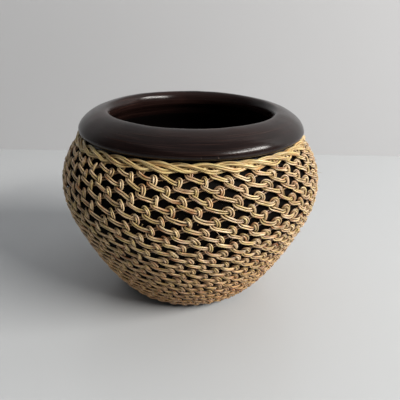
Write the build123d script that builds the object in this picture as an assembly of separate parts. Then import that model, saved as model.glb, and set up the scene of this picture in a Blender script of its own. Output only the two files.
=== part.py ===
"""Round-bellied black clay pot dressed in a looped fibre net. Millimetres, +Z up.

The origin is the centre of the foot's flat face. The clay pot is one fired piece: foot, wall,
shoulder, neck and rolled rim. A twisted two-ply cord lies round the neck. The net hangs from it in
closed courses of half hitches, each hooked over the low arcs of the course above, and a draw ring
closes it at the foot. Each course is a strand of its own whose ends meet at the back of the pot.

Every strand is placed by three measures: its run down the clay wall from the neck, its angle round
the pot, and how far it stands out from the wall. The net is three strand layers thick: what passes
behind another strand lies against the clay, and what passes in front of it lies outermost.
"""
from build123d import *
import math
import os

# Clay pot
foot_radius = 32.0
belly_radius = 71.5
belly_height = 70.0
neck_radius = 57.0
neck_height = 96.5
wall_thickness = 6.5
floor_thickness = 8.0
floor_corner = 9.0

# Rolled rim, an oval roll whose outer end hangs lower
rim_width = 19.8
rim_thickness = 8.4
rim_tilt = 28.5
rim_rise = 7.4
rim_inset = 2.7

# Net
stitches = 36
courses = 22
strand_diameter = 1.1
strand_gap = 0.08
lead = 0.1
ring_height = 5.0
end_gap = 0.3
net_start_angle = 90.0

# Neck cord, two plies laid together, with a ply lowest at each stitch of the first course
ply_diameter = 2.3
cord_turns = stitches / 2
cord_points_per_turn = 8
rim_clearance = 0.12

# Layers of the net, as distances of a strand's centre from the clay
strand_pitch = strand_diameter + strand_gap
inner_layer = strand_diameter / 2 + strand_gap


def layer(number):
    """Distance from the clay of layer 1 (inner), 2 (middle), 3 (outer), or between them."""
    return inner_layer + (number - 1) * strand_pitch


# ---------------------------------------------------------------- clay wall

def wall_outline():
    """Outer face of the clay wall, from the neck down to the foot."""
    swell = belly_radius - foot_radius
    shoulder = belly_radius - neck_radius
    shoulder_rise = neck_height - belly_height
    points = [
        (neck_radius, neck_height),
        (neck_radius + 0.70 * shoulder, belly_height + 0.60 * shoulder_rise),
        (belly_radius, belly_height),
        (foot_radius + 0.79 * swell, 0.61 * belly_height),
        (foot_radius + 0.41 * swell, 0.245 * belly_height),
        (foot_radius, 0.0),
    ]
    return Spline(*[(r, 0, z) for r, z in points])


wall_line = wall_outline()


def on_wall(run, out):
    """Radius and height of a spot at a run down the wall from the neck, and out from its face."""
    spot = wall_line.position_at(run, position_mode=PositionMode.LENGTH)
    down = wall_line.tangent_at(run, position_mode=PositionMode.LENGTH)
    return spot.X - out * down.Z, spot.Z + out * down.X


def place(run, out, angle):
    """The same spot in space, at an angle round the pot in degrees."""
    radius, height = on_wall(run, out)
    turn = math.radians(angle)
    return Vector(radius * math.cos(turn), radius * math.sin(turn), height)


def run_at_height(height, out):
    """Run down the wall at which a spot standing out from it has the given height."""
    low, high = 0.0, wall_line.length
    while high - low > 0.001:
        middle = (low + high) / 2
        if on_wall(middle, out)[1] > height:
            low = middle
        else:
            high = middle
    return low


rim_radius = neck_radius - rim_inset
rim_height = neck_height + rim_rise


def rim_roll():
    """Oval section of the rim's roll."""
    rim_plane = Plane(origin=(rim_radius, 0, rim_height), x_dir=(1, 0, 0), z_dir=(0, -1, 0))
    return rim_plane * Rot(0, 0, -rim_tilt) * Ellipse(rim_width / 2, rim_thickness / 2)


def clay_pot():
    """Foot, wall, shoulder and neck turned about the pot's axis, with the rim's roll on top."""
    throat_radius = neck_radius - wall_thickness - rim_inset
    shares = (0.12, 0.3, 0.5, 0.7, 0.84)
    inside = [on_wall(share * wall_line.length, -wall_thickness) for share in shares]
    throat = (throat_radius, rim_height)
    floor_edge = (foot_radius - floor_corner, floor_thickness)
    inner_points = [(r, 0, z) for r, z in (throat, *inside, floor_edge)]
    inner_line = Spline(*inner_points, tangents=[(0, 0, -1), (-1, 0, 0)])
    rest = [floor_edge, (0, floor_thickness), (0, 0), (foot_radius, 0)]
    top = [throat, (rim_radius, rim_height), (neck_radius, neck_height)]
    outline = Wire([
        wall_line,
        inner_line,
        *Polyline(*[(r, 0, z) for r, z in rest]).edges(),
        *Polyline(*[(r, 0, z) for r, z in top]).edges(),
    ])
    body = revolve(Face(outline), axis=Axis.Z)
    return body + revolve(rim_roll(), axis=Axis.Z)


# ---------------------------------------------------------------- strands

def rounded_path(points, radii):
    """Open path of straight runs joined by tangent arcs, one radius for each inner point."""
    edges = []
    start = points[0]
    for before, corner, after, radius in zip(points, points[1:], points[2:], radii):
        back = (before - corner).normalized()
        ahead = (after - corner).normalized()
        half_turn = math.radians(180 - back.get_angle(ahead)) / 2
        room = 0.48 * min((before - corner).length, (after - corner).length)
        radius = min(radius, room / math.tan(half_turn))
        cut = radius * math.tan(half_turn)
        inward = (back + ahead).normalized()
        middle = corner + inward * (radius / math.cos(half_turn) - radius)
        edges.append(Edge.make_line(start, corner + back * cut))
        edges.append(Edge.make_three_point_arc(corner + back * cut, middle, corner + ahead * cut))
        start = corner + ahead * cut
    edges.append(Edge.make_line(start, points[-1]))
    return Wire(edges)


def strand(points, radii, diameter):
    """Round strand along the points, whose last one is held back so that the ends don't touch."""
    shortfall = (points[-2] - points[-1]).normalized() * end_gap
    path = rounded_path([*points[:-1], points[-1] + shortfall], radii)
    section = Plane(origin=path @ 0, z_dir=path % 0) * Circle(diameter / 2)
    return sweep(section, path=path)


# ---------------------------------------------------------------- neck cord

half_across = (ply_diameter + strand_diameter + 4 * strand_gap) / 2
half_deep = (ply_diameter + strand_gap) / 2
corner_stretch = 1 / math.cos(math.pi / cord_points_per_turn)
cord_off_clay = max(half_deep * corner_stretch, strand_diameter + strand_gap)
cord_out = cord_off_clay + ply_diameter / 2 + strand_gap


def ply_spot(run, wind, stretch):
    """Run and distance out of a ply's centre at an angle of its lay round the cord's middle."""
    down = stretch * half_across * math.cos(wind)
    return run + down, cord_out - stretch * half_deep * math.sin(wind)


def rim_distance(run):
    """Least distance from the rim's roll to the centre of a ply, in a cord at this run."""
    roll = rim_roll().edge()
    winds = [2 * math.pi * step / 24 for step in range(24)]
    spots = [on_wall(*ply_spot(run, wind, 1)) for wind in winds]
    return min(roll.distance_to(Vertex(radius, 0, height)) for radius, height in spots)


def cord_seat():
    """Run down the wall at which the cord just clears the rim's roll."""
    low, high = half_across, wall_line.length / 4
    while high - low > 0.001:
        middle = (low + high) / 2
        if rim_distance(middle) < ply_diameter / 2 + rim_clearance:
            low = middle
        else:
            high = middle
    return high


cord_run = cord_seat()


def ply_route(number):
    """Points of one ply: it winds round the cord's middle, flatter against the clay than tall."""
    steps = round(cord_turns * cord_points_per_turn)
    points = []
    for step in range(steps + 1):
        wind = 2 * math.pi * step / cord_points_per_turn + math.pi * number
        angle = net_start_angle + 360 * step / steps
        points.append(place(*ply_spot(cord_run, wind, corner_stretch), angle))
    return points, [6 * ply_diameter] * (steps - 1)


# ---------------------------------------------------------------- net

first_bar_run = cord_run + half_across * corner_stretch
ring_run = run_at_height(ring_height, layer(2))
course_step = (ring_run - first_bar_run) / courses
pitch = 360 / stitches
small_bend = 0.72
easy_bend = 0.9
wide_bend = 3.0


def half_hitch(head, bar_run, bar_radius, bar_out, low_run):
    """Spots of one stitch, from left to right: each is an angle, a run, a distance out, a bend.

    The strand comes in under its own loop, rises in front of the bar, folds over it, goes down
    behind it, comes out over its own start and sweeps down to the low arc that the next course
    grips. The bar is whatever the loop hangs on.
    """
    grip = bar_radius + strand_diameter / 2 + strand_gap
    front = bar_out + grip
    back = bar_out - grip
    drop = low_run - bar_run
    lift = 0.6 * (front - layer(3))
    start_run = min(bar_run + 0.73 * drop, low_run - strand_pitch)
    step = math.degrees(strand_pitch / on_wall(bar_run, bar_out)[0])
    return [
        (head - 0.24 * pitch, start_run, layer(1.6), wide_bend),
        (head + 0.12 * step, bar_run + grip + 1.20 * strand_pitch, layer(1.45), easy_bend),
        (head + 0.80 * step, bar_run + grip - 0.25 * strand_pitch, front, easy_bend),
        (head + 0.58 * step, bar_run - grip - 0.17 * strand_pitch, front, small_bend),
        (head - 0.56 * step, bar_run - grip - 0.65 * strand_pitch, back, small_bend),
        (head - 0.89 * step, bar_run + grip - 0.27 * strand_pitch, back, small_bend),
        (head - 0.39 * step, bar_run + grip + 0.46 * strand_pitch, layer(3.1) + lift, small_bend),
        (head + 0.44 * step, bar_run + grip + 1.35 * strand_pitch, layer(2.9) + lift, easy_bend),
    ]


def low_arc(head, bar_run, low_run):
    """The sweep from a stitch to the spot that the next course grips."""
    drop = low_run - bar_run
    return [
        (head + 0.42 * pitch, bar_run + 0.88 * drop, layer(2.25), wide_bend),
        (head + (0.5 + lead) * pitch, low_run, layer(2), wide_bend),
    ]


def ring_hook(head, bar_run, low_run):
    """The last course's arc: down in front of the draw ring, under it and up behind it."""
    step = math.degrees(strand_pitch / on_wall(low_run, layer(2))[0])
    middle = head + (0.5 + lead) * pitch
    return [
        (middle - 0.50 * step, low_run - 0.90 * strand_pitch, layer(3.1), easy_bend),
        (middle - 0.45 * step, low_run + 1.25 * strand_pitch, layer(3.1), small_bend),
        (middle + 0.45 * step, low_run + 1.25 * strand_pitch, layer(0.95), small_bend),
        (middle + 0.50 * step, low_run - 0.30 * strand_pitch, layer(0.95), easy_bend),
    ]


def course_route(number):
    """Points and bends of one course, from the back of the pot once round to the back."""
    bar_run = first_bar_run + (number - 1) * course_step
    low_run = bar_run + course_step
    bar = (bar_run, strand_diameter / 2, layer(2))
    if number == 1:
        bar = (bar_run, ply_diameter / 2, cord_out)
    arc = ring_hook if number == courses else low_arc
    shift = ((number - 1) * (0.5 + lead)) % 1
    spots = []
    for stitch in range(stitches):
        head = net_start_angle + (stitch + shift) * pitch
        spots += half_hitch(head, *bar, low_run)
        spots += arc(head, bar_run, low_run)
    points = [place(run, out, angle) for angle, run, out, bend in spots]
    start = (points[-1] + points[0]) / 2
    return [start, *points, start], [bend for angle, run, out, bend in spots]


def draw_ring():
    """The strand drawn through the last course's arcs."""
    radius, height = on_wall(ring_run, layer(2))
    return Pos(0, 0, height) * Torus(radius, strand_diameter / 2)


def build_parts():
    """Every piece of the pot by its node's name."""
    parts = {"clay_pot": clay_pot()}
    for number, letter in enumerate("ab"):
        parts[f"neck_cord_ply_{letter}"] = strand(*ply_route(number), ply_diameter)
    for number in range(1, courses + 1):
        parts[f"net_course_{number:02d}"] = strand(*course_route(number), strand_diameter)
    parts["foot_ring"] = draw_ring()
    return parts


if __name__ == "__main__":
    os.makedirs("parts", exist_ok=True)
    for name, solid in build_parts().items():
        solid.label = name
        export_step(solid, f"parts/{name}.step")
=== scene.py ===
"""Looks of a round black clay pot dressed in a looped fibre net, built around its CAD frame.

The pot is turned as a clay shell with a rolled rim. The net is worked in flat pairs of fibres, one
round below the other, each stitch a half hitch over the round above, and a draw strand closes it
at the foot. A twisted cord of flat strips lies round the neck. The pot's front faces -Y.
"""

import math
import random

import bpy
import numpy as np
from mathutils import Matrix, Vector, noise


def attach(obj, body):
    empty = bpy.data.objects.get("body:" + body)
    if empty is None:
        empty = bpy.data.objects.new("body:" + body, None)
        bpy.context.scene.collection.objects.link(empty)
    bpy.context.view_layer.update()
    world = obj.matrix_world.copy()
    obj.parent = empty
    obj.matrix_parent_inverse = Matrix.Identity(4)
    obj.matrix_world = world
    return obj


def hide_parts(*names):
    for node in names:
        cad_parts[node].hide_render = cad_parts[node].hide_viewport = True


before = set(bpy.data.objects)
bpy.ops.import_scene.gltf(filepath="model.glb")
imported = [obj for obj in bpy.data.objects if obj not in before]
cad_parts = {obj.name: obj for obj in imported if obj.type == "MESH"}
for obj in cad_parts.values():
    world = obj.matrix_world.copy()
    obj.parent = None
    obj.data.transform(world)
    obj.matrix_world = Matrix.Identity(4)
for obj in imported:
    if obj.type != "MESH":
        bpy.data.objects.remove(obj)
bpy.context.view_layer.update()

MM = 0.001

# Clay pot, millimetres
FOOT_RADIUS = 32.0
BELLY_RADIUS = 71.5
BELLY_HEIGHT = 70.0
NECK_RADIUS = 57.0
NECK_HEIGHT = 96.5
WALL_THICKNESS = 6.5
FLOOR_THICKNESS = 8.0
FLOOR_CORNER = 9.0
RIM_WIDTH = 19.8
RIM_THICKNESS = 8.4
RIM_TILT = 28.5
RIM_RISE = 7.4
RIM_INSET = 2.7
LIP_RADIUS = 45.2
LIP_DEPTH = 5.5

# Neck cord and net, millimetres and counts. A run is a way down the clay wall from the neck.
CORD_RUN = 5.2
FIRST_BAR_RUN = 7.21
STITCHES = 36
COURSES = 22
LEAD = 0.1
RING_HEIGHT = 5.0
START_ANGLE = 90.0

rng = random.Random(7)


# ------------------------------------------------------------------ small helpers

def srgb(code):
    """Linear RGBA of an sRGB hex colour."""
    channels = [int(code[i:i + 2], 16) / 255 for i in (0, 2, 4)]
    linear = [c / 12.92 if c <= 0.04045 else ((c + 0.055) / 1.055) ** 2.4 for c in channels]
    return (*linear, 1.0)


def node(tree, kind, settings=None, **inputs):
    """Adds a shader node with its settings, and its inputs linked or set, by name or by i and number.

    The setting "stops" gives a colour ramp its places, each with an sRGB colour or a grey.
    """
    made = tree.nodes.new("ShaderNode" + kind)
    for name, value in (settings or {}).items():
        if name != "stops":
            setattr(made, name, value)
            continue
        elements = made.color_ramp.elements
        while len(elements) < len(value):
            elements.new(0.5)
        for element, (position, colour) in zip(elements, value):
            element.position = position
            element.color = srgb(colour) if isinstance(colour, str) else (colour, colour, colour, 1)
    for name, value in inputs.items():
        numbered = name[0] == "i" and name[1:].isdigit()
        socket = made.inputs[int(name[1:]) if numbered else name.replace("_", " ")]
        if isinstance(value, bpy.types.NodeSocket):
            tree.links.new(value, socket)
        else:
            socket.default_value = value
    return made


def deselect():
    """Leaves nothing selected, so that an operator acts only on what comes next."""
    bpy.ops.object.select_all(action="DESELECT")


# ------------------------------------------------------------------ the wall's outline

def smooth_line(points, steps, ways=None):
    """Cubic curve through the points, spaced by chord length, as an array of spots.

    Its ends take the two ways given, or those of the cubics through the nearest four points.
    """
    points = np.array(points, float)
    gaps = np.linalg.norm(np.diff(points, axis=0), axis=1)
    knots = np.concatenate([[0], np.cumsum(gaps)])
    count = len(points)
    system = np.zeros((count, count))
    right = np.zeros((count, 2))
    if ways is None:
        first_way = np.polyfit(knots[:4] - knots[0], points[:4], 3)[2]
        last_way = np.polyfit(knots[-4:] - knots[-1], points[-4:], 3)[2]
    else:
        first_way, last_way = (np.array(way, float) for way in ways)
    system[0, :2] = 2 * gaps[0], gaps[0]
    system[-1, -2:] = gaps[-1], 2 * gaps[-1]
    right[0] = 6 * ((points[1] - points[0]) / gaps[0] - first_way)
    right[-1] = 6 * (last_way - (points[-1] - points[-2]) / gaps[-1])
    for i in range(1, count - 1):
        system[i, i - 1:i + 2] = gaps[i - 1], 2 * (gaps[i - 1] + gaps[i]), gaps[i]
        before = (points[i] - points[i - 1]) / gaps[i - 1]
        after = (points[i + 1] - points[i]) / gaps[i]
        right[i] = 6 * (after - before)
    bend = np.linalg.solve(system, right)
    spots = []
    for i, gap in enumerate(gaps):
        for t in np.linspace(0, gap, steps, endpoint=(i == count - 2)):
            a, b = gap - t, t
            curve = (bend[i] * a ** 3 + bend[i + 1] * b ** 3) / (6 * gap)
            near = (points[i] / gap - bend[i] * gap / 6) * a
            far = (points[i + 1] / gap - bend[i + 1] * gap / 6) * b
            spots.append(curve + (near + far))
    return np.array(spots)


def wall_outline():
    """Outer face of the clay wall from the neck down to the foot, as radius and height."""
    swell = BELLY_RADIUS - FOOT_RADIUS
    shoulder = BELLY_RADIUS - NECK_RADIUS
    return smooth_line([
        (NECK_RADIUS, NECK_HEIGHT),
        (NECK_RADIUS + 0.70 * shoulder, BELLY_HEIGHT + 0.60 * (NECK_HEIGHT - BELLY_HEIGHT)),
        (BELLY_RADIUS, BELLY_HEIGHT),
        (FOOT_RADIUS + 0.79 * swell, 0.61 * BELLY_HEIGHT),
        (FOOT_RADIUS + 0.41 * swell, 0.245 * BELLY_HEIGHT),
        (FOOT_RADIUS, 0.0),
    ], 60)


wall = wall_outline()
wall_runs = np.concatenate([[0], np.cumsum(np.linalg.norm(np.diff(wall, axis=0), axis=1))])
wall_ways = np.gradient(wall, wall_runs, axis=0)


def on_wall(run, out):
    """Radius and height of a spot at a run down the wall from the neck, and out from its face."""
    spot = [np.interp(run, wall_runs, wall[:, i]) for i in (0, 1)]
    way = Vector([np.interp(run, wall_runs, wall_ways[:, i]) for i in (0, 1)]).normalized()
    return spot[0] - out * way.y, spot[1] + out * way.x


def place(run, out, angle):
    """The same spot in space, at an angle round the pot in degrees, in metres."""
    radius, height = on_wall(run, out)
    turn = math.radians(angle)
    return Vector((radius * math.cos(turn), radius * math.sin(turn), height)) * MM


# ------------------------------------------------------------------ materials

MIXED = {"data_type": "RGBA"}
TIMES = {"data_type": "RGBA", "blend_type": "MULTIPLY"}


def blank_material(name):
    """A new material with an empty tree, its shader and its output."""
    material = bpy.data.materials.new(name)
    material.use_nodes = True
    tree = material.node_tree
    tree.nodes.clear()
    output = tree.nodes.new("ShaderNodeOutputMaterial")
    shader = tree.nodes.new("ShaderNodeBsdfPrincipled")
    tree.links.new(shader.outputs["BSDF"], output.inputs["Surface"])
    return material, tree, shader


def burnished_clay():
    """Smoke-fired black clay, rubbed with a stone while leather hard.

    Smoke leaves clouds about 36 mm wide. The rubbing gives a soft gloss in bands about 2 mm high,
    with brown strokes 0.4 mm high and now and then a 4 mm scuff that shows paler clay. The clay's
    own grain is 0.7 mm. Noise scales are features per metre.
    """
    material, tree, shader = blank_material("burnished_black_clay")
    spot = node(tree, "TexCoord").outputs["Object"]
    cloud = node(tree, "TexNoise", Vector=spot, Scale=28, Detail=4).outputs["Fac"]
    lying = node(tree, "Mapping", Vector=spot, Scale=(0.35, 0.35, 9)).outputs[0]
    bands = node(tree, "TexNoise", Vector=lying, Scale=60, Detail=4, Roughness=0.6).outputs["Fac"]
    fine = node(tree, "Mapping", Vector=spot, Scale=(0.3, 0.3, 45)).outputs[0]
    strokes = node(tree, "TexNoise", Vector=fine, Scale=60, Detail=3, Roughness=0.7).outputs["Fac"]
    tall = node(tree, "Mapping", Vector=spot, Scale=(1, 1, 0.6)).outputs[0]
    scuffs = node(tree, "TexNoise", Vector=tall, Scale=240, Detail=2, Roughness=0.7).outputs["Fac"]
    smoke = {"stops": ((0.35, "100807"), (0.55, "1A0F0D"), (0.72, "291814"))}
    body = node(tree, "ValToRGB", smoke, Fac=cloud).outputs[0]
    bare = node(tree, "ValToRGB", {"stops": ((0.45, 0.0), (0.75, 0.35))}, Fac=bands).outputs[0]
    banded = node(tree, "Mix", MIXED, i0=bare, i6=body, i7=srgb("33221F")).outputs[2]
    drawn = node(tree, "ValToRGB", {"stops": ((0.55, 0.0), (0.68, 0.5))}, Fac=strokes).outputs[0]
    stroked = node(tree, "Mix", MIXED, i0=drawn, i6=banded, i7=srgb("402B24")).outputs[2]
    scuffed = node(tree, "ValToRGB", {"stops": ((0.75, 0.0), (0.79, 0.55))}, Fac=scuffs).outputs[0]
    worn = node(tree, "Mix", MIXED, i0=scuffed, i6=stroked, i7=srgb("6E5A4C")).outputs[2]
    tree.links.new(worn, shader.inputs["Base Color"])
    gloss = node(tree, "MapRange", i0=bands, i3=0.12, i4=0.3).outputs[0]
    tree.links.new(gloss, shader.inputs["Roughness"])
    shader.inputs["Specular IOR Level"].default_value = 0.4
    shader.inputs["IOR"].default_value = 1.35
    grain = node(tree, "TexNoise", Vector=spot, Scale=1400, Detail=2).outputs["Fac"]
    rubbed = node(tree, "Bump", Height=bands, Strength=0.25, Distance=0.0006).outputs[0]
    grainy = node(tree, "Bump", Height=grain, Strength=0.12, Distance=0.0002, Normal=rubbed)
    tree.links.new(grainy.outputs[0], shader.inputs["Normal"])
    return material


def unrubbed_clay_painted_shade():
    """The same clay under the net and inside, unrubbed and dull in 11 mm patches, with 1 mm grit. Its
    much darker colour is painted shade of the net and of the inside.
    """
    material, tree, shader = blank_material("unrubbed_clay_with_painted_shade")
    spot = node(tree, "TexCoord").outputs["Object"]
    cloud = node(tree, "TexNoise", Vector=spot, Scale=90, Detail=3).outputs["Fac"]
    # Painted shade: this clay is coloured far darker than the rubbed rim, for the shade of the net and
    # of the pot's inside.
    painted_shade = node(tree, "ValToRGB", {"stops": ((0.35, "050302"), (0.7, "0B0705"))}, Fac=cloud)
    tree.links.new(painted_shade.outputs[0], shader.inputs["Base Color"])
    dullness = node(tree, "ValToRGB", {"stops": ((0.3, 0.85), (0.7, 0.65))}, Fac=cloud)
    tree.links.new(dullness.outputs[0], shader.inputs["Roughness"])
    shader.inputs["Specular IOR Level"].default_value = 0.12
    shader.inputs["IOR"].default_value = 1.35
    grit = node(tree, "TexNoise", Vector=spot, Scale=900, Detail=2).outputs["Fac"]
    bump = node(tree, "Bump", Height=grit, Strength=0.3, Distance=0.0002)
    tree.links.new(bump.outputs[0], shader.inputs["Normal"])
    return material


def split_fibre(name, light, middle, deep, tints, gloss):
    """Split palm fibre, dried and twisted by hand.

    Fine ridges run along each strand, 0.3 mm apart and 9 mm long, over a colour that drifts from
    straw to tan, green and pink every 9 to 11 mm. Towards the foot it is darker and browner, and
    where it lies close to the clay it is darkened by painted shade. "lay" is each strand's own straight
    frame in metres: along it, and across it both ways. "rise" is how far a spot stands out from the
    clay, in centimetres, and sets how much painted shade it gets. Noise scales are features per metre.
    """
    material, tree, shader = blank_material(name)
    lay = node(tree, "Attribute", {"attribute_name": "lay"}).outputs["Vector"]
    rise = node(tree, "Attribute", {"attribute_name": "rise"}).outputs["Fac"]
    spot = node(tree, "TexCoord").outputs["Object"]
    height = node(tree, "SeparateXYZ", Vector=spot).outputs[2]
    long = node(tree, "Mapping", Vector=lay, Scale=(0.03, 1, 1)).outputs[0]
    ridges = node(tree, "TexNoise", Vector=long, Scale=3600, Detail=2, Roughness=0.6).outputs["Fac"]
    slow = node(tree, "Mapping", Vector=lay, Scale=(1, 0.2, 0.2)).outputs[0]
    drift = node(tree, "TexNoise", Vector=slow, Scale=110, Detail=2).outputs["Fac"]
    slower = node(tree, "Mapping", Vector=lay, Scale=(1.3, 0.1, 0.1)).outputs[0]
    hue = node(tree, "TexNoise", Vector=slower, Scale=70, Detail=1).outputs["Fac"]
    shades = {"stops": ((0.30, deep), (0.50, middle), (0.68, light))}
    body = node(tree, "ValToRGB", shades, Fac=drift).outputs[0]
    leaves = {"stops": tuple(zip((0.30, 0.45, 0.58, 0.72), tints))}
    tint = node(tree, "ValToRGB", leaves, Fac=hue).outputs[0]
    tinted = node(tree, "Mix", MIXED, i0=0.7, i6=body, i7=tint).outputs[2]
    furrow = node(tree, "ValToRGB", {"stops": ((0.38, 0.85), (0.60, 0.0))}, Fac=ridges).outputs[0]
    ridged = node(tree, "Mix", TIMES, i0=furrow, i6=tinted, i7=srgb("573313")).outputs[2]
    # Darker and browner towards the foot: fully so below 12 mm up, fading out by 60 mm up.
    browner_tone = node(tree, "Mix", TIMES, i0=1.0, i6=ridged, i7=srgb("DCC4A4")).outputs[2]
    high = node(tree, "MapRange", Value=height, i1=0.012, i2=0.06).outputs[0]
    browner_towards_foot = node(tree, "Mix", MIXED, i0=high, i6=browner_tone, i7=ridged).outputs[2]
    # Painted shade: strands lying close to the clay are darkened, deep brown against it and clearing by
    # 2.1 mm out.
    painted_shade_stops = {"stops": ((0.0, "160B04"), (0.1, "6E4C2A"), (0.21, "FFFFFF"))}
    painted_shade = node(tree, "ValToRGB", painted_shade_stops, Fac=rise).outputs[0]
    with_painted_shade = node(tree, "Mix", TIMES, i0=1.0, i6=browner_towards_foot, i7=painted_shade).outputs[2]
    tree.links.new(with_painted_shade, shader.inputs["Base Color"])
    shader.inputs["Roughness"].default_value = gloss
    shader.inputs["IOR"].default_value = 1.5
    shader.inputs["Sheen Weight"].default_value = 0.08
    bump = node(tree, "Bump", Height=ridges, Strength=0.5, Distance=0.00012)
    tree.links.new(bump.outputs[0], shader.inputs["Normal"])
    return material


# ------------------------------------------------------------------ clay pot

# The shell's rings, in millimetres, degrees and shares of the wall's run.
DISC_RADIUS = 12
FOOT_EDGE = ((1.5, 0), (0.4, 0.35))
FOOT_EDGE_RUN = 1.2
ROLL_RUN = 3.0
ROLL_START = -72
LIP_TURNS = (8, 110)
LIP_GAP = 1.5
INSIDE_SHARES = (0.12, 0.3, 0.5, 0.7, 0.84)
WALL_RINGS = 46
ROLL_RINGS = 34
LIP_RINGS = 16
INSIDE_STEPS = 7
SHELL_SIDES = 160

# The hand's unevenness, in millimetres. It fades out at the foot, which stands flat.
UNEVENNESS = 0.7
UNEVEN_SPACING = 30
FLAT_SHARE = 0.05
FLAT_HEIGHT = 12
# Below this height the clay takes the dull material whose darker colour is painted shade.
PAINTED_SHADE_TOP = NECK_HEIGHT - 1.5


def pot_profile():
    """Rings of the clay shell as radius and height, from the foot's middle round to the floor's."""
    foot = [(FOOT_RADIUS - inward, height) for inward, height in FOOT_EDGE]
    outer_runs = np.linspace(wall_runs[-1] - FOOT_EDGE_RUN, ROLL_RUN, WALL_RINGS)
    outer = [on_wall(run, 0) for run in outer_runs]
    rim_radius = NECK_RADIUS - RIM_INSET
    rim_height = NECK_HEIGHT + RIM_RISE
    tilt = math.radians(-RIM_TILT)
    roll = []
    crest_turn = math.pi - math.atan2(RIM_THICKNESS * math.cos(tilt), -RIM_WIDTH * math.sin(tilt))
    for turn in np.linspace(math.radians(ROLL_START), crest_turn, ROLL_RINGS):
        across = RIM_WIDTH / 2 * math.cos(turn)
        up = RIM_THICKNESS / 2 * math.sin(turn)
        roll.append((rim_radius + across * math.cos(tilt) - up * math.sin(tilt),
                     rim_height + across * math.sin(tilt) + up * math.cos(tilt)))
    crest_radius, crest_height = roll[-1]
    lip = []
    for turn in np.linspace(*np.radians(LIP_TURNS), LIP_RINGS):
        lip.append((crest_radius - (crest_radius - LIP_RADIUS) * math.sin(turn),
                    crest_height - LIP_DEPTH * (1 - math.cos(turn))))
    throat = (NECK_RADIUS - WALL_THICKNESS - RIM_INSET, rim_height)
    corner = (FOOT_RADIUS - FLOOR_CORNER, FLOOR_THICKNESS)
    inside = [on_wall(share * wall_runs[-1], -WALL_THICKNESS) for share in INSIDE_SHARES]
    inner = smooth_line([throat, *inside, corner], INSIDE_STEPS, ((0, -1), (-1, 0)))
    inner = [spot for spot in inner if spot[1] < lip[-1][1] - LIP_GAP]
    return [(DISC_RADIUS, 0)] + foot + outer + roll + lip + inner + [(DISC_RADIUS, FLOOR_THICKNESS)]


def turn_pot():
    """The clay shell, drawn up ring by ring from a disc, as a potter's coils are."""
    rings = pot_profile()
    radius, height = rings[0]
    deselect()
    bpy.ops.mesh.primitive_circle_add(vertices=SHELL_SIDES, radius=radius * MM,
                                      fill_type="TRIFAN", location=(0, 0, height * MM))
    pot = bpy.context.object
    pot.name = "clay_shell"
    bpy.ops.object.transform_apply(location=True)
    bpy.ops.object.mode_set(mode="EDIT")
    bpy.ops.mesh.select_all(action="DESELECT")
    bpy.ops.mesh.select_mode(type="EDGE")
    bpy.ops.mesh.select_non_manifold()
    for (last_radius, last_height), (radius, height) in zip(rings, rings[1:]):
        lift = (0, 0, (height - last_height) * MM)
        bpy.ops.mesh.extrude_edges_move(TRANSFORM_OT_translate={"value": lift})
        share = radius / last_radius
        bpy.ops.transform.resize(value=(share, share, 1), center_override=(0, 0, height * MM))
    bpy.ops.mesh.edge_face_add()
    bpy.ops.mesh.poke()
    bpy.ops.mesh.select_all(action="SELECT")
    bpy.ops.mesh.normals_make_consistent(inside=False)
    bpy.ops.mesh.faces_shade_smooth()
    bpy.ops.object.mode_set(mode="OBJECT")
    uneven = bpy.data.textures.new("hand_built_unevenness", "CLOUDS")
    uneven.noise_scale = UNEVEN_SPACING * MM
    push = pot.modifiers.new("unevenness", "DISPLACE")
    push.texture = uneven
    push.strength = UNEVENNESS * MM
    raised = pot.vertex_groups.new(name="above_foot")
    for vertex in pot.data.vertices:
        share = vertex.co.z / (FLAT_HEIGHT * MM) - FLAT_SHARE
        raised.add([vertex.index], min(1.0, max(0.0, share)), "REPLACE")
    push.vertex_group = raised.name
    bpy.ops.object.modifier_apply(modifier=push.name)
    return pot


clay = turn_pot()
clay.data.materials.append(burnished_clay())
clay.data.materials.append(unrubbed_clay_painted_shade())
# Faces below the neck, under the net and inside, get the dull clay with painted shade. The rim keeps
# the rubbed clay.
for face in clay.data.polygons:
    face.material_index = 1 if face.center.z < PAINTED_SHADE_TOP * MM else 0
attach(clay, "root")
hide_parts("clay_pot")


# ------------------------------------------------------------------ strands

def strands(name, routes, diameter, sides, steps, cyclic=True):
    """Mesh of smooth round strands along control points, with each strand's own straight frame."""
    curve = bpy.data.curves.new(name, "CURVE")
    curve.dimensions = "3D"
    curve.resolution_u = steps
    curve.bevel_depth = diameter / 2 * MM
    curve.bevel_resolution = (sides - 4) // 2
    curve.use_fill_caps = not cyclic
    for points, girths in routes:
        spline = curve.splines.new("NURBS")
        spline.points.add(len(points) - 1)
        spline.points.foreach_set("co", [v for p in points for v in (*p, 1.0)])
        spline.points.foreach_set("radius", girths)
        spline.order_u = 4
        spline.use_cyclic_u = cyclic
        spline.use_endpoint_u = not cyclic
        spline.use_smooth = True
    piece = bpy.data.objects.new(name, curve)
    bpy.context.scene.collection.objects.link(piece)
    deselect()
    piece.select_set(True)
    bpy.context.view_layer.objects.active = piece
    bpy.ops.object.convert(target="MESH")
    piece = bpy.context.object
    lay_strands(piece, len(routes), sides)
    return piece


# What keeps pieces, and the strands of one piece, apart in the fibre pattern, in metres, and what
# keeps strands apart in the noise that sets their thickness.
LAY_SPREAD = 3.7
LAY_GAP = 1.3
NOISE_SPREAD = 90


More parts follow.
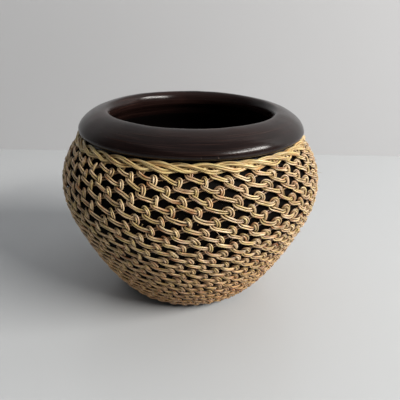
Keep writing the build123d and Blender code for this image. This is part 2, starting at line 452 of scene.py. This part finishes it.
def lay_strands(piece, count, sides):
    """Writes each strand's own frame, "lay", apart from the others', and its "rise" off the clay."""
    mesh = piece.data
    spots = np.zeros(len(mesh.vertices) * 3, np.float32)
    mesh.vertices.foreach_get("co", spots)
    rings = spots.reshape(count, -1, sides, 3)
    middles = rings.mean(axis=2)
    paces = np.linalg.norm(np.diff(middles, axis=1), axis=2)
    along = np.concatenate([np.zeros((count, 1)), np.cumsum(paces, axis=1)], axis=1)
    girth = np.linalg.norm(rings - middles[:, :, None], axis=3)
    turn = 2 * np.pi * np.arange(sides) / sides
    lay = np.zeros(rings.shape, np.float32)
    starts = LAY_SPREAD * rng.random() + LAY_GAP * np.arange(count)[:, None, None]
    lay[..., 0] = along[:, :, None] + starts
    lay[..., 1] = girth * np.cos(turn)
    lay[..., 2] = girth * np.sin(turn)
    made = mesh.attributes.new("lay", "FLOAT_VECTOR", "POINT")
    made.data.foreach_set("vector", lay.ravel())
    flat = spots.reshape(-1, 3) / MM
    radius = np.hypot(flat[:, 0], flat[:, 1])
    wall_radius = np.interp(-flat[:, 2], -wall[:, 1], wall[:, 0])
    lean = np.interp(-flat[:, 2], -wall[:, 1], -wall_ways[:, 1])
    made = mesh.attributes.new("rise", "FLOAT", "POINT")
    made.data.foreach_set("value", ((radius - wall_radius) * lean / 10).astype(np.float32))


def girths(count, spread, wave):
    """Uneven thickness along a strand, as a share of its diameter."""
    seed = rng.random() * NOISE_SPREAD
    return [1 + spread * noise.noise((seed, i / wave, 0.5)) for i in range(count)]


# ------------------------------------------------------------------ net

# Millimetres between neighbouring strands, and the strands' own thickness and sides.
NET_PITCH = 1.02
NET_STRAND = 0.88
NET_SIDES = 6
ring_run = float(np.interp(-RING_HEIGHT, -wall[:, 1], wall_runs))
course_step = (ring_run - FIRST_BAR_RUN) / COURSES
pitch = 360 / STITCHES

# One stitch, for each of the two strands: share of the pitch from the head, then strand pitches
# across, down from the bar that it hangs on, and out from the clay. It comes in under its own loop,
# rises before the bar, folds over it, goes down behind it, comes out over its own start and sweeps
# to the low arc. The inner strand lies inside the loop and on top of the sweep. Spots away from the
# head are measured down from the next bar instead.
INNER_STITCH = [
    (-0.245, 0, -1.6, 0.95),
    (0, -1.4, 2.35, 0.75),
    (0, 0.3, 1.95, 0.8),
    (0, 1.05, 1.15, 1.75),
    (0, 1.1, 0.1, 2.45),
    (0, 0.75, -1.15, 2.35),
    (0, -0.1, -1.7, 1.7),
    (0, -0.75, -1.25, 0.7),
    (0, -1.0, 0, 0.45),
    (0, -1.05, 1.1, 1.05),
    (0, -0.45, 1.65, 2.2),
    (0, 1.1, 2.2, 2.35),
    (0.29, 0, -1.35, 2.1),
    (0.45, 0, -0.8, 1.85),
    (0.61, 0, -0.55, 1.6),
]
OUTER_STITCH = [
    (-0.235, 0, -0.45, 0.95),
    (0, -1.0, 3.3, 0.9),
    (0, 0.9, 2.8, 1.15),
    (0, 2.0, 1.6, 1.7),
    (0, 2.1, 0, 2.2),
    (0, 1.6, -1.75, 2.2),
    (0, 0, -2.65, 1.6),
    (0, -1.65, -1.9, 0.85),
    (0, -2.0, -0.1, 0.7),
    (0, -2.05, 1.4, 1.3),
    (0, -1.05, 2.5, 2.0),
    (0, 0.85, 3.15, 2.2),
    (0.285, 0, -0.3, 2.1),
    (0.45, 0, 0.25, 1.95),
    (0.61, 0, 0.45, 1.5),
]
HEAD_SPOTS = range(3, 10)


# The net is pulled out of true in a broad and a fine wave: degrees aside, millimetres down, how fast
# it changes round the pot and down it, and where in the noise the pull down is read.
WAVES = (
    (1.6, 1.1, 6, 0.07, (31, 0, 0)),
    (0.8, 0.7, 17, 0.21, (0, 47, 0)),
)
TRUE_TOP = 4
TRUE_FOOT = 2
FADE_RUN = 8


def worked(angle, run, out):
    """A spot of the net, pulled a little out of true so that neighbours stay together."""
    spin = math.radians(angle)
    aside, down = 0, 0
    for wide, tall, round_rate, down_rate, start in WAVES:
        seat = Vector((math.cos(spin) * round_rate, math.sin(spin) * round_rate, run * down_rate))
        aside += wide * noise.noise(seat)
        down += tall * noise.noise(seat + Vector(start))
    from_top = (run - TRUE_TOP) / FADE_RUN
    from_foot = (ring_run + TRUE_FOOT - run) / FADE_RUN
    fade = min(1.0, max(0.0, from_top), max(0.0, from_foot))
    return place(run + down * fade, out, angle + aside * fade)


# How unevenly the stitches lean and spread. The first course's heads sit higher and closer to the
# clay, under the cord. The last course's arcs hang lower, hooked under the draw strand, and the
# sweeps near a head stand further off the clay than the arcs do.
HEAD_LEAN = 0.35
HEAD_SPREAD = 0.3
FIRST_LIFT = 0.9
FIRST_OUT = 0.8
LAST_DROP = 1.7
LAST_SWEEP_OUT = 1.6
LAST_ARC_OUT = 0.95
NEAR_HEAD = 0.4


def course(number, stitch):
    """Control points of one strand of a course."""
    bar_run = FIRST_BAR_RUN + (number - 1) * course_step
    shift = ((number - 1) * (0.5 + LEAD)) % 1
    width = math.degrees(NET_PITCH / on_wall(bar_run, 2 * NET_PITCH)[0])
    points = []
    for index in range(STITCHES):
        head = START_ANGLE + (index + shift) * pitch
        lean = HEAD_LEAN * noise.noise((number * 1.37, index * 1.61, 3))
        spread = 1 + HEAD_SPREAD * noise.noise((number * 1.53, index * 1.29, 8))
        for place_in, (share, across, down, out) in enumerate(stitch):
            if place_in in HEAD_SPOTS:
                across = across * spread - lean * down
            run = bar_run + down * NET_PITCH + (course_step if share else 0)
            if number == 1 and place_in in HEAD_SPOTS:
                run, out = run - FIRST_LIFT, out * FIRST_OUT
            if number == COURSES and share:
                run += LAST_DROP * NET_PITCH
                out = LAST_SWEEP_OUT if abs(share) < NEAR_HEAD else LAST_ARC_OUT
            points.append(worked(head + share * pitch + across * width, run, out * NET_PITCH))
    return points


fibre = split_fibre("split_palm_fibre", "FFF3DE", "E2B47C", "9C5A24",
                    ("B86C20", "FFE0B4", "DAC880", "F4B890"), 0.28)
for number in range(1, COURSES + 1):
    pair = []
    for stitch in (INNER_STITCH, OUTER_STITCH):
        points = course(number, stitch)
        pair.append((points, girths(len(points), spread=0.22, wave=9)))
    piece = strands(f"net_round_{number:02d}", pair, NET_STRAND, NET_SIDES, steps=3)
    piece.data.materials.append(fibre)
    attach(piece, "root")
    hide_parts(f"net_course_{number:02d}")


# ------------------------------------------------------------------ neck cord

BUNDLES = 3
BUNDLE_STRIPS = 3
LAY_TURNS = 12
TURN_SPOTS = 14
OWN_TURNS = 5
STRIP = 1.12
STRIP_SIDES = 8

# Where the strips run, in millimetres: the cord's middle off the clay, its half height and half
# depth, those of a bundle, and how far the weight of the net tugs a bundle down at its lowest.
CORD_OUT = 2.3
CORD_HALF = (1.65, 1.05)
BUNDLE_HALF = (0.62, 0.5)
TUG = 0.5

# How far a strip wanders round its bundle, in radians, over how many spots, and from where.
WANDER = 1.2
WANDER_STEPS = 12
WANDER_SPREAD = 50

cord_fibre = split_fibre("pale_cord_fibre", "FBEABF", "EBC688", "BB8540",
                         ("DCA452", "F6D99C", "E4D389", "F0BE92"), 0.3)


def bundle_strip(bundle, strip):
    """Control points of one strip, which turns slowly within its bundle of the cord."""
    steps = LAY_TURNS * TURN_SPOTS
    seed = rng.random() * WANDER_SPREAD
    points = []
    for step in range(steps):
        wind = 2 * math.pi * step / TURN_SPOTS + 2 * math.pi * bundle / BUNDLES
        own = 2 * math.pi * strip / BUNDLE_STRIPS + 2 * math.pi * OWN_TURNS * step / steps
        own += WANDER * noise.noise((seed, step / WANDER_STEPS, 0))
        tug = TUG * max(0, math.cos(wind)) ** 6
        down = CORD_HALF[0] * math.cos(wind) + BUNDLE_HALF[0] * math.cos(own) + tug
        out = CORD_OUT - CORD_HALF[1] * math.sin(wind) + BUNDLE_HALF[1] * math.sin(own)
        points.append(place(CORD_RUN + down, out, START_ANGLE + 360 * step / steps))
    return points


for letter, bundles in (("a", (0, 2)), ("b", (1,))):
    strips = []
    for bundle in bundles:
        for strip in range(BUNDLE_STRIPS):
            points = bundle_strip(bundle, strip)
            strips.append((points, girths(len(points), spread=0.4, wave=6)))
    piece = strands(f"cord_ply_{letter}", strips, STRIP, STRIP_SIDES, steps=4)
    piece.data.materials.append(cord_fibre)
    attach(piece, "root")
    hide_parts(f"neck_cord_ply_{letter}")


# ------------------------------------------------------------------ foot ring

RING_SPOTS = 72
RING_OUT = 0.5
RING_SIDES = 8

ring = []
for down in (-1, 0):
    points = []
    for index in range(RING_SPOTS):
        angle = START_ANGLE + 360 * index / RING_SPOTS
        points.append(place(ring_run + down * NET_PITCH, RING_OUT, angle))
    ring.append((points, girths(RING_SPOTS, spread=0.2, wave=3)))
piece = strands("draw_strand", ring, NET_STRAND, RING_SIDES, steps=3)
piece.data.materials.append(fibre)
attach(piece, "root")
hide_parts("foot_ring")


# ------------------------------------------------------------------ stray fibres

STRAYS = 110
STRAY = 0.22
STRAY_OUT = 2.3
STRAY_SIDES = 6

hairs = []
for index in range(STRAYS):
    angle = rng.uniform(0, 360)
    run = rng.uniform(FIRST_BAR_RUN, 0.8 * ring_run)
    length = rng.uniform(2.0, 5.0)
    aside = math.degrees(rng.uniform(-0.8, 0.8) * length / BELLY_RADIUS)
    fall = rng.uniform(-0.5, 0.8) * length
    stand = rng.uniform(0.2, 0.55) * length
    hair = []
    for share in (0, 0.3, 0.65, 1):
        out = STRAY_OUT + stand * share ** 1.5
        hair.append(place(run + fall * share, out, angle + aside * share))
    hairs.append((hair, [1, 0.9, 0.7, 0.3]))
piece = strands("stray_fibres", hairs, STRAY, STRAY_SIDES, steps=4, cyclic=False)
piece.data.materials.append(fibre)
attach(piece, "root")


# ------------------------------------------------------------------ floor, light and camera

# The surroundings and the camera: metres, degrees of pitch, radians of roll, millimetres of lens.
ROOM = 6
WALL_DISTANCE = 0.265
CAMERA_SPOT = (0.00565, -0.27005, 0.1677)
CAMERA_PITCH = 23.03
CAMERA_ROLL = 0.018
CAMERA_LENS = 43.2
CAMERA_SENSOR = 36


def plain(name, colour, roughness):
    """A plain matt surface for the surroundings."""
    material, _, shader = blank_material(name)
    shader.inputs["Base Color"].default_value = srgb(colour)
    shader.inputs["Roughness"].default_value = roughness
    return material


def sheet(name, size, location, turn, material):
    """A flat surround, which isn't part of the pot."""
    deselect()
    bpy.ops.mesh.primitive_plane_add(size=size, location=location, rotation=turn)
    made = bpy.context.object
    made.name = name
    made.data.materials.append(material)
    return made


def open_behind(material):
    """Lets a camera see through the back of a surface, and changes nothing else about it."""
    tree = material.node_tree
    shader = tree.nodes["Principled BSDF"].outputs["BSDF"]
    behind = node(tree, "NewGeometry").outputs["Backfacing"]
    seen = node(tree, "LightPath").outputs["Is Camera Ray"]
    both = node(tree, "Math", {"operation": "MULTIPLY"}, i0=behind, i1=seen).outputs[0]
    clear = node(tree, "BsdfTransparent").outputs[0]
    shown = node(tree, "MixShader", i0=both, i1=shader, i2=clear).outputs[0]
    tree.links.new(shown, tree.nodes["Material Output"].inputs["Surface"])
    return material


table_top = plain("satin_table", "BFC2C4", 0.3)
sheet("table", ROOM, (0, WALL_DISTANCE - ROOM / 2, 0), (0, 0, 0), table_top)
wall_paint = open_behind(plain("painted_wall", "C1C2C4", 0.8))
sheet("wall", ROOM, (0, WALL_DISTANCE, ROOM / 2), (math.radians(90), 0, 0), wall_paint)


def area_light(name, location, aim, size, power, colour):
    """A soft box that looks at a spot."""
    lamp = bpy.data.lights.new(name, "AREA")
    lamp.shape = "RECTANGLE"
    lamp.size, lamp.size_y = size
    lamp.energy = power
    lamp.color = srgb(colour)[:3]
    holder = bpy.data.objects.new(name, lamp)
    holder.location = location
    holder.rotation_euler = (Vector(aim) - Vector(location)).to_track_quat("-Z", "Y").to_euler()
    bpy.context.scene.collection.objects.link(holder)


area_light("window", (1.57, -0.8, 1.18), aim=(0, 0, 0.06), size=(1.4, 0.32), power=68, colour="FFFBF6")
area_light("skylight", (0.1, -0.2, 1.7), aim=(0, 0, 0), size=(2.4, 2.4), power=5.2, colour="F6F8FF")

world = bpy.data.worlds.new("soft_room")
world.use_nodes = True
world.node_tree.nodes["Background"].inputs["Color"].default_value = srgb("DDE2E6")
world.node_tree.nodes["Background"].inputs["Strength"].default_value = 0.12
bpy.context.scene.world = world
bpy.context.scene.view_settings.view_transform = "Standard"

camera = bpy.data.cameras.new("camera")
camera.lens = CAMERA_LENS
camera.sensor_width = CAMERA_SENSOR
camera_holder = bpy.data.objects.new("camera", camera)
camera_holder.location = CAMERA_SPOT
camera_holder.rotation_mode = "ZYX"
camera_holder.rotation_euler = (math.radians(90 - CAMERA_PITCH), 0, CAMERA_ROLL)
bpy.context.scene.collection.objects.link(camera_holder)
bpy.context.scene.camera = camera_holder
